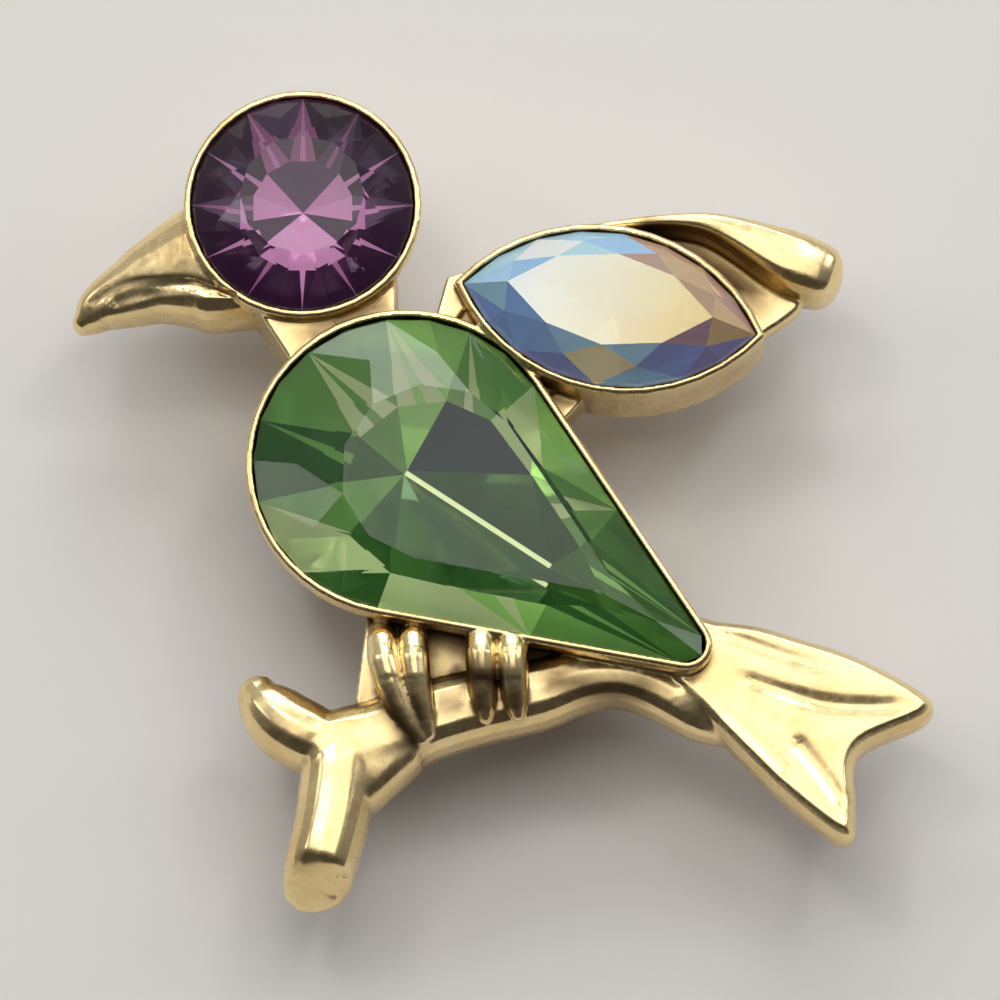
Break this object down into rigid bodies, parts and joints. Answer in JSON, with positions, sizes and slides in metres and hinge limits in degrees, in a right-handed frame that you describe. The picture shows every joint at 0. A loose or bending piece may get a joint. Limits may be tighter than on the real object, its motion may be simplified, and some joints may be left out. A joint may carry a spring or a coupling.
{
  "type": "bird brooch with cut stones",
  "caption": "Cast bird brooch on a branch, with cut glass stones in its head, body and wing and a pin finding on its flat back.",
  "frame": {"origin": "centre of the bounding box, at the surface that the pin finding rests on when the brooch lies face up", "axes": "+X towards the tail side, +Y towards the head, +Z out of the face"},
  "size_m": [0.0301, 0.0291, 0.0073],
  "materials": {
    "gold_tone_casting": "pale champagne plating, smooth and half polished",
    "violet_glass": "cut, foil-backed",
    "green_glass": "cut, foil-backed",
    "aurora_glass": "cut, foil-backed, with an iridescent coating",
    "gold_tone_finding": "plain satin plating"
  },
  "bodies": {
    "root": {"bird_frame": "gold_tone_casting", "head_stone": "violet_glass", "body_stone": "green_glass", "wing_stone": "aurora_glass", "pin_back": "gold_tone_finding"}
  },
  "joints": []
}
